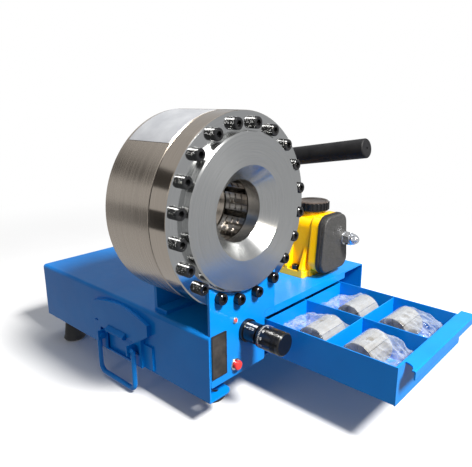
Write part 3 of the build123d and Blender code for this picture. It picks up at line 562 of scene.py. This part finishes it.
def tick_tree(material):
    """Geometry Nodes: a thin bar on each point, laid along Y and facing out from the dial's axis."""
    group, add, join = new_growth(
        "dial_ticks", ("Tick length", "Float", 0.002), ("Tick width", "Float", 0.0003),
        ("Tick height", "Float", 0.0003), ("Dial axis", "Vector", (0.0, 0.0, 0.0)))
    given = add("NodeGroupInput")
    size = add("ShaderNodeCombineXYZ")
    join(given.outputs["Tick width"], size.inputs["X"])
    join(given.outputs["Tick length"], size.inputs["Y"])
    join(given.outputs["Tick height"], size.inputs["Z"])
    bar = add("GeometryNodeMeshCube")
    join(size.outputs["Vector"], bar.inputs["Size"])
    spot = add("GeometryNodeInputPosition")
    away = add("ShaderNodeVectorMath")
    away.operation = "SUBTRACT"
    join(spot.outputs["Position"], away.inputs[0])
    join(given.outputs["Dial axis"], away.inputs[1])
    level = add("ShaderNodeVectorMath")
    level.operation = "MULTIPLY"
    level.inputs[1].default_value = (1.0, 0.0, 1.0)
    join(away.outputs["Vector"], level.inputs[0])
    face_out = add("FunctionNodeAlignEulerToVector")
    face_out.axis = "Z"
    face_out.pivot_axis = "Y"
    join(level.outputs["Vector"], face_out.inputs["Vector"])
    bars = add("GeometryNodeInstanceOnPoints")
    join(given.outputs["Geometry"], bars.inputs["Points"])
    join(bar.outputs["Mesh"], bars.inputs["Instance"])
    join(face_out.outputs["Rotation"], bars.inputs["Rotation"])
    end_growth(group, bars.outputs["Instances"], material)
    return group


def on_dial(r, turn, y):
    """A point at a radius and a turn from the top of the dial."""
    return (dial_at[0] + r * sin(turn), y, dial_at[1] + r * cos(turn))


ticks = tick_tree(mark_white)
axis = (dial_at[0], 0.0, dial_at[1])
mark_w = 0.0005
band_y0, band_y1 = root_y - 0.0130, root_y - 0.0052
turns = [on_dial(band_r, 2 * pi * i / 50, band_y1 - (0.0016 if i % 5 else 0.0022)) for i in range(50)]
grown("thimble_ticks", turns, ticks, "thimble", Tick_length=0.0026, Tick_width=mark_w, Dial_axis=axis)

datum_turn = radians(-25)
scale_y, scale_pitch = plate_y - 0.006, 0.001
datum = [on_dial(collar_r, datum_turn, scale_y + 0.0002 - scale_pitch * i) for i in range(20)]
grown("sleeve_datum", datum, ticks, "base", Tick_length=0.00105, Tick_width=mark_w, Dial_axis=axis)
cross = [on_dial(collar_r, datum_turn + radians(5 if i % 5 else 8), scale_y - scale_pitch * i)
         for i in range(20)]
grown("sleeve_ticks", cross, ticks, "base", Tick_length=mark_w, Tick_width=0.0026, Dial_axis=axis)

mark_lift = 0.00012
mark_deep = 0.0001


def wrapped_number(word, turn, y_mid, r, height):
    """A number as a thin mesh bent round the dial, upright when read from the free end."""
    curve = bpy.data.curves.new("number_" + word, "FONT")
    curve.body = word
    curve.size = height
    curve.align_x = "CENTER"
    curve.align_y = "CENTER"
    curve.extrude = mark_deep
    curve.resolution_u = 3
    flat = bpy.data.objects.new("number_" + word, curve)
    bpy.context.scene.collection.objects.link(flat)
    bpy.context.view_layer.update()
    mesh = bpy.data.meshes.new_from_object(flat.evaluated_get(bpy.context.evaluated_depsgraph_get()))
    bpy.data.objects.remove(flat)
    for v in mesh.vertices:
        v.co = on_dial(r + mark_lift + v.co.z, turn + v.co.x / r, y_mid + v.co.y)
    return mesh


bm = bmesh.new()
for i in range(10):
    bm.from_mesh(wrapped_number(str(i * 5), 2 * pi * i / 10, band_y0 + 0.0012, band_r, 0.0042))
thimble_numbers = linked("thimble_numbers", bm, mark_white, False)
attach(thimble_numbers, "thimble")
bm = bmesh.new()
for i in range(4):
    bm.from_mesh(wrapped_number(str(i * 5), radians(-44), scale_y - 5 * scale_pitch * i, collar_r, 0.0044))
sleeve_numbers = linked("sleeve_numbers", bm, mark_white, False)
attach(sleeve_numbers, "base")

# ---------------------------------------------------------------- carrying handles
# Pressed sheet cases on both side walls, each with a bent rod bail that drops flat, in the
# same blue coat as the base. Each case is pressed out over its bail in a short louvre,
# whose upper face slopes outwards.
dress(blue_coat, "handle_case_left", "handle_case_right", "handle_bail_left", "handle_bail_right")

louvre_y0, louvre_y1 = -0.049, 0.001
louvre_z0, louvre_z1 = 0.0375, 0.050
brow_z0, brow_z1 = louvre_z0 + 0.004, louvre_z0 + 0.0065
case_deep = 0.0078              # from the wall to the case's face, where the louvre starts
louvre_out = 0.0075
louvre_edge = 0.0008
wall_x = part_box("base_shell")[1][0]
for side, hand in ((-1, "left"), (1, "right")):
    x_in = side * (wall_x + case_deep)
    x_out = x_in + side * louvre_out
    bm = bmesh.new()
    line = [(x_in, louvre_z1), (x_out, brow_z1), (x_out, brow_z0), (x_in, louvre_z0)]
    ends = [[bm.verts.new((x, y, z)) for x, z in line] for y in (louvre_y0, louvre_y1)]
    for end in ends:
        bm.faces.new(end)
    for k in range(4):
        bm.faces.new((ends[0][k], ends[0][(k + 1) % 4], ends[1][(k + 1) % 4], ends[1][k]))
    bmesh.ops.bevel(bm, geom=bm.edges[:], offset=louvre_edge, segments=3, affect="EDGES")
    louvre = linked(f"case_louvre_{hand}", bm, blue_coat, False)
    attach(louvre, "base")

# ---------------------------------------------------------------- die drawer
# A folded tray with a cross of dividers and a deep folded pull. All of it is sheet steel,
# coated blue inside and out.
dress(blue_coat, "drawer_tray", "drawer_dividers", "drawer_front")

# ---------------------------------------------------------------- die sets
# Each set is eight segments of machined steel stood together as a ring. Saw and mill
# marks run along them, and their edges are broken.
die_steel, tree, shader = new_finish("machined_die_steel", (0.46, 0.44, 0.41), 0.34, 0.55)
mill = grain(tree, 420.0, 4.0, (0.08, 1.0, 1.0))
tint(tree, shader, mill, (0.3, (0.26, 0.245, 0.225)), (0.7, (0.36, 0.345, 0.32)))
dull(tree, shader, mill, 0.26, 0.46)
relief(tree, shader, mill, 0.0001, 0.3, 0.0008)
dress(die_steel, *[f"die_set_{n + 1}" for n in range(6)])

# ---------------------------------------------------------------- film bags
# Four of the sets are in clear bags of thin film. The film is tight over the steel, pinched
# at both ends, and its spare width lies crumpled beside each set.
film, tree, shader = new_finish("clear_film", (0.60, 0.65, 0.72), 0.09)
shine = node(tree, "LayerWeight", Blend=0.35)
haze = node(tree, "Math", {"operation": "ADD", "use_clamp": True})
tree.links.new(span(tree, grain(tree, 80.0, 4.0), -0.24, 0.20), haze.inputs[0])
tree.links.new(span(tree, shine.outputs["Facing"], 0.05, 0.72), haze.inputs[1])
tree.links.new(haze.outputs["Value"], shader.inputs["Alpha"])
shader.inputs["Specular IOR Level"].default_value = 0.9
relief(tree, shader, grain(tree, 90.0, 3.0), 0.002, 0.35)

bag_past = 0.012                # film past each end of the dies
bag_spare = 0.036               # film that lies out to one side
bag_off = 0.0004                # film over the steel
tray_low, tray_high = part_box("drawer_tray")
bag_low, bag_high = tray_low[2] + 0.0021, tray_high[2] + 0.0012
fold_size, crinkle_size = 0.030, 0.012


def crease(x, y, z, size, seed):
    """Sharp folds of about that size: the valleys of two layers of noise, from 0 to 1."""
    a = abs(noise.noise(Vector((x / size + seed, y / size, z / size))))
    b = abs(noise.noise(Vector((2.4 * x / size, 2.4 * y / size + seed, 2.4 * z / size))))
    return 1.0 - min(1.0, 1.6 * a + 0.8 * b)


def film_bag(name, seed, spare_side):
    """One bag round a die set, its spare film piled towards the front or the rear."""
    low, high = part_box(name)
    cy, cz = (low[1] + high[1]) / 2, (low[2] + high[2]) / 2
    r = (high[2] - low[2]) / 2 + bag_off
    x0, x1 = low[0] - bag_past, high[0] + bag_past
    along, around = 110, 190
    bm = bmesh.new()
    rows = []
    for i in range(along + 1):
        x = x0 + (x1 - x0) * i / along
        past = max(low[0] - x, x - high[0], 0.0) / bag_past
        pinch = 1.0 - 0.93 * past ** 1.7
        row = []
        for k in range(around):
            a = 2 * pi * k / around
            side, up = cos(a), sin(a)
            spare = max(0.0, spare_side * side)
            y = cy + r * side + spare_side * bag_spare * spare ** 1.3
            z = cz + r * up * pinch * (1.0 - 0.35 * spare ** 2)
            fold = crease(x, y, z, fold_size, seed) - 0.45
            crinkle = crease(x, y, z, crinkle_size, seed + 9.0) - 0.5
            loose = max(spare ** 0.7, past)
            lift = fold * (0.0005 + 0.0090 * loose) + crinkle * (0.0001 + 0.0018 * loose)
            x_folded = x + 0.004 * loose * (fold - 0.05)
            y += side * lift
            z += up * lift + 0.004 * past * sin(7 * a + seed)
            row.append(bm.verts.new((x_folded, y, min(max(z, bag_low), bag_high))))
        rows.append(row)
    for i in range(along):
        for k in range(around):
            n = (k + 1) % around
            bm.faces.new((rows[i][k], rows[i + 1][k], rows[i + 1][n], rows[i][n]))
    bm.faces.new(rows[0][::-1])
    bm.faces.new(rows[-1])
    made = linked(name.replace("die_set", "film_bag"), bm, film)
    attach(made, "drawer")
    return made


for n in range(4):
    bag = film_bag(f"die_set_{n + 1}", 3.7 * n + 1.3, -1 if n < 2 else 1)
    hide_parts("die_bags")

# ---------------------------------------------------------------- hand pump
# A yellow painted iron casting with ribbed feet. A black gasket and a rough grey cast plate
# close its front, held by a stud with a chromed cap nut: a hexagon and a dome.
yellow, tree, shader = new_finish("yellow_cast_paint", (1.0, 0.60, 0.0), 0.26)
shader.inputs["Coat Weight"].default_value = 0.3
tint(tree, shader, grain(tree, 30.0, 4.0), (0.3, (0.98, 0.50, 0.0)), (0.7, (1.0, 0.57, 0.001)))
relief(tree, shader, grain(tree, 320.0, 4.0), 0.0006, 0.35, 0.0025)
dress(yellow, "pump_body")
dress(foot_rubber, "pump_gasket")

cast_grey, tree, shader = new_finish("rough_grey_casting", (0.05, 0.05, 0.05), 0.5, 0.3)
pits = grain(tree, 900.0, 5.0)
tint(tree, shader, pits, (0.40, (0.02, 0.02, 0.02)), (0.62, (0.085, 0.083, 0.08)))
relief(tree, shader, pits, 0.0009, 0.8, 0.001)
dress(cast_grey, "pump_end_plate", "lever_beam")

chromed, tree, shader = new_finish("chromed_nut", (0.80, 0.82, 0.86), 0.08, 1.0)
dull(tree, shader, grain(tree, 200.0), 0.05, 0.14)
relief(tree, shader, grain(tree, 60.0), 0.0002, 0.1, 0.0004)
nut_low, nut_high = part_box("acorn_nut")
nut_at = ((nut_low[0] + nut_high[0]) / 2, (nut_low[2] + nut_high[2]) / 2)
nut_bore = 0.0055
nut_corner, hex_len = 0.0122, 0.0125
dome_r, dome_len, dome_wall = 0.0104, 0.0150, 0.005
nut_y = nut_high[1]
dome_y = nut_y - hex_len
tip_y = dome_y - dome_len
bore_y = tip_y + dome_wall
hexagon = lathed("cap_nut_hexagon",
                 [(nut_bore, nut_y), (nut_corner, nut_y), (nut_corner, dome_y), (nut_bore, dome_y)],
                 chromed, "base", nut_at, 6)
arc = [pi / 2 * k / 10 for k in range(10)]
profile = [(nut_bore, dome_y)]
profile += [(dome_r * cos(a), dome_y - dome_len * sin(a)) for a in arc]
profile += [(0.0, tip_y), (0.0, bore_y), (nut_bore, bore_y)]
dome = lathed("cap_nut_dome", profile, chromed, "base", nut_at, 48)
for polygon in dome.data.polygons:
    polygon.use_smooth = True
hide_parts("acorn_nut")
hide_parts("acorn_nut")

# ---------------------------------------------------------------- filler cap and release knob
# Moulded black caps with ribs to grip, screwed into the pump. The filler cap's flat top is
# brown with dust.
black_cap, tree, shader = new_finish("black_moulding", (0.010, 0.010, 0.011), 0.16)
up = node(tree, "NewGeometry")
split = node(tree, "SeparateXYZ")
tree.links.new(up.outputs["Normal"], split.inputs["Vector"])
dust = node(tree, "Math", {"operation": "MULTIPLY", "use_clamp": True})
tree.links.new(split.outputs["Z"], dust.inputs[0])
tree.links.new(span(tree, grain(tree, 50.0, 5.0), 0.2, 0.9), dust.inputs[1])
tint(tree, shader, dust.outputs["Value"], (0.0, (0.008, 0.008, 0.009)), (0.9, (0.14, 0.105, 0.085)))
relief(tree, shader, grain(tree, 600.0), 0.0002, 0.3, 0.0006)
dress(black_cap, "filler_cap", "release_knob")
cap_low, cap_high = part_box("filler_cap")
cap_r = (cap_high[0] - cap_low[0]) / 2
rib_h = 0.0125
rib_down = 0.0022               # from the cap's top to the ribs
rib_in = 0.0004
rib_count = 24
cap_middle = ((cap_low[0] + cap_high[0]) / 2, (cap_low[1] + cap_high[1]) / 2,
              cap_high[2] - rib_down - rib_h / 2)
ribs = grown("filler_cap_ribs", [cap_middle], knurl_tree(black_cap), "cap",
             Ridges=rib_count, Head_radius=cap_r - rib_in, Band=rib_h, Ridge=0.0027,
             Lean=(0.0, 0.0, pi / rib_count))

# ---------------------------------------------------------------- lever grip
# A thick black sleeve of matt rubber pushed over the lever's tube, with a small vent in
# its end.
grip_rubber, tree, shader = new_finish("grip_rubber", (0.008, 0.008, 0.009), 0.55)
shader.inputs["Specular IOR Level"].default_value = 0.2
tint(tree, shader, grain(tree, 60.0, 4.0), (0.3, (0.005, 0.005, 0.006)), (0.7, (0.012, 0.012, 0.013)))
relief(tree, shader, grain(tree, 800.0, 4.0), 0.0004, 0.5, 0.0015)
dress(grip_rubber, "lever_grip")

# ---------------------------------------------------------------- studio
# A plain pale floor that fades to white under a weak even sky. A strong lamp stands in
# front and above, with weak ones over the rear and to the left, and a narrow warm spot is
# on the pump. Three dark cards stand where only the bright metal sees them.
floor_r, floor_drop = 9.0, 0.0004
fade_from, fade_to = 0.35, 1.5
bm = bmesh.new()
bmesh.ops.create_circle(bm, cap_ends=True, segments=96, radius=floor_r)
for v in bm.verts:
    v.co.z = cad_box[0][2] - floor_drop
pale, tree, shader = new_finish("pale_floor", (0.84, 0.84, 0.84), 0.7)
tint(tree, shader, grain(tree, 3.0), (0.3, (0.83, 0.83, 0.83)), (0.7, (0.86, 0.86, 0.86)))
place = node(tree, "TexCoord")
far = sums(tree, "LENGTH", place.outputs["Object"], kind="VectorMath")
fade = node(tree, "MapRange", {"interpolation_type": "SMOOTHSTEP"}, From_Min=fade_from, From_Max=fade_to)
tree.links.new(far, fade.inputs["Value"])
path = node(tree, "LightPath")
seen = sums(tree, "MULTIPLY", fade.outputs["Result"], path.outputs["Is Camera Ray"])
white = node(tree, "Emission", Color=(1.0, 1.0, 1.0, 1.0), Strength=1.0)
faded = node(tree, "MixShader")
tree.links.new(seen, faded.inputs["Fac"])
tree.links.new(shader.outputs["BSDF"], faded.inputs[1])
tree.links.new(white.outputs["Emission"], faded.inputs[2])
tree.links.new(faded.outputs["Shader"], tree.nodes["Material Output"].inputs["Surface"])
floor = linked("studio_floor", bm, pale, False)
floor.visible_glossy = False
floor.visible_diffuse = False


def hung(name, light, at, aim, watts, color):
    """A light of so many watts, hung at a place and turned to a point."""
    light.energy = watts
    light.color = color
    made = bpy.data.objects.new(name, light)
    bpy.context.scene.collection.objects.link(made)
    made.location = at
    made.rotation_euler = (Vector(aim) - Vector(at)).to_track_quat("-Z", "Y").to_euler()


def lamp(name, at, aim, size, watts, color):
    """A square lamp of that size."""
    light = bpy.data.lights.new(name, "AREA")
    light.shape = "SQUARE"
    light.size = size
    hung(name, light, at, aim, watts, color)


lamp("key_lamp", (-0.16, -1.8, 1.95), (0.0, -0.1, 0.15), 0.5, 150.0, (1.0, 0.985, 0.96))
lamp("top_lamp", (0.3, 0.7, 2.4), (0.0, 0.0, 0.1), 1.4, 8.0, (0.96, 0.98, 1.0))
lamp("left_lamp", (-2.2, -0.2, 1.3), (0.0, 0.0, 0.15), 0.9, 4.0, (1.0, 0.95, 0.9))
snoot = bpy.data.lights.new("pump_lamp", "SPOT")
snoot.spot_size = radians(13.0)
snoot.spot_blend = 0.6
snoot.shadow_soft_size = 0.04
hung("pump_lamp", snoot, (-0.62, -1.30, 1.02), (0.09, -0.10, 0.165), 44.0, (1.0, 0.93, 0.82))

sky = bpy.data.worlds.new("studio_sky")
bpy.context.scene.world = sky
sky.use_nodes = True
tree = sky.node_tree
path = node(tree, "LightPath")
straight = sums(tree, "MAXIMUM", path.outputs["Is Camera Ray"], path.outputs["Is Transmission Ray"])
mirrored = sums(tree, "MULTIPLY", path.outputs["Is Glossy Ray"], 0.42)
whiteness = sums(tree, "MAXIMUM", straight, mirrored)
seen_sky = blend(tree, whiteness, (0.21, 0.22, 0.24, 1.0), (1.0, 1.0, 1.0, 1.0))
tree.links.new(seen_sky, tree.nodes["Background"].inputs["Color"])


def dark_card(name, corners):
    """A dark card beside the set, seen only in reflections."""
    bm = bmesh.new()
    bm.faces.new([bm.verts.new(c) for c in corners])
    felt = new_finish(name + "_felt", (0.03, 0.028, 0.026), 0.9)[0]
    made = linked(name, bm, felt, False)
    made.visible_camera = False
    made.visible_diffuse = False
    made.visible_shadow = False
    made.visible_transmission = False


dark_card("back_card", [(-1.9, 1.6, 0.95), (0.1, 1.85, 0.95), (0.1, 1.85, 1.5), (-1.9, 1.6, 1.5)])
dark_card("side_card", [(0.7, 2.6, 0.0), (2.9, 1.4, 0.0), (2.9, 1.4, 0.8), (0.7, 2.6, 0.8)])
dark_card("left_card", [(-2.2, 2.6, -0.6), (-2.2, 0.2, -0.6), (-2.2, 0.2, 0.25), (-2.2, 2.6, 0.25)])

# The camera stands to the front left, above the deck, and looks a little down.
eye_at = (-0.61217, -0.66407, 0.40588)
eye_turn, eye_down = radians(-48.6), radians(15.15)
eye = bpy.data.cameras.new("view_camera")
eye.sensor_width = 36.0
eye.lens = 37.53
eye.shift_x = -0.0319
eye.shift_y = -0.0022
eye.clip_start = 0.01
view = bpy.data.objects.new("view_camera", eye)
bpy.context.scene.collection.objects.link(view)
view.matrix_world = (Matrix.Translation(eye_at) @ Matrix.Rotation(eye_turn, 4, "Z")
                     @ Matrix.Rotation(pi / 2 - eye_down, 4, "X"))
bpy.context.scene.camera = view
bpy.context.scene.view_settings.view_transform = "Standard"
